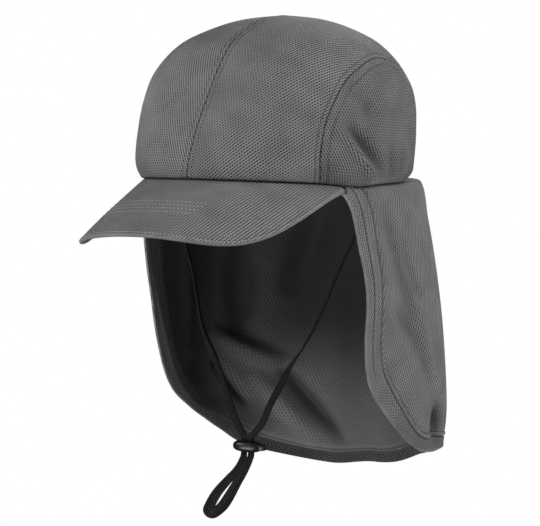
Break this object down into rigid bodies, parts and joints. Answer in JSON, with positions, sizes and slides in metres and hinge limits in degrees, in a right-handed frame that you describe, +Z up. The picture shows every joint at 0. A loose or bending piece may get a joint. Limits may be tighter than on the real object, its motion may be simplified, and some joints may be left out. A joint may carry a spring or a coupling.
{
  "type": "cooling cap",
  "caption": "Soft grey eyelet-mesh cap with a curved peak, a neck cape that hangs over the ears and nape, and a thin black chin cord with a sprung cord lock.",
  "frame": {"origin": "middle of the head opening, level with the crown's lower edge", "axes": "+Z up through the top of the crown, -Y forwards along the peak, +X to the wearer's left"},
  "size_m": [0.1923, 0.3196, 0.3425],
  "materials": {
    "mesh_cloth": "matt grey eyelet knit",
    "cord_black": "matt black flat braid",
    "lock_black": "satin black moulded plastic"
  },
  "bodies": {
    "root": {"crown_left_panel": "mesh_cloth", "crown_right_panel": "mesh_cloth", "side_left_panel": "mesh_cloth", "side_right_panel": "mesh_cloth", "peak": "mesh_cloth", "neck_cape": "mesh_cloth", "cape_left_band": "mesh_cloth", "cape_right_band": "mesh_cloth", "chin_cord": "cord_black", "cord_lock_body": "lock_black"},
    "plunger": {"cord_lock_plunger": "lock_black"}
  },
  "joints": [
    {"name": "plunger_press", "type": "slide", "parent": "root", "child": "plunger", "axis": [-0.9374, -0.3412, 0.0698], "range_m": [0, 0.0022], "stiffness_N_per_m": 400, "springref_m": -0.002}
  ]
}
